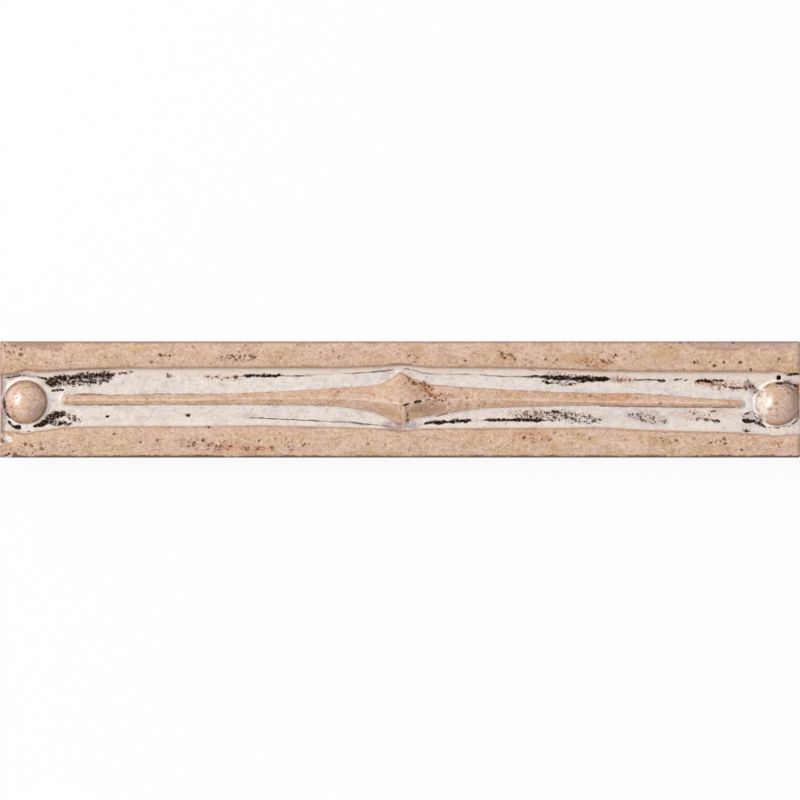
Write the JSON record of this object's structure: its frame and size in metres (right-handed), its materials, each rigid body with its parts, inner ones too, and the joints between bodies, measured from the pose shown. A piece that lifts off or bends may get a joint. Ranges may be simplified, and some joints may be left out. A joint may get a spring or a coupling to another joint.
{
  "type": "border tile",
  "caption": "Long narrow glazed ceramic border tile with raised rails, a sunk channel holding a ridged spindle between round end beads, and a flat grooved back for adhesive.",
  "frame": {"origin": "middle of the flat back face", "axes": "+X along the tile, +Y across it, +Z out of the relief face"},
  "size_m": [0.1524, 0.0222, 0.0095],
  "materials": {
    "antique_glaze": "satin beige glaze worn over a white ground, with dark antiquing in the hollows"
  },
  "bodies": {
    "root": {"border_tile": "antique_glaze"}
  },
  "joints": []
}
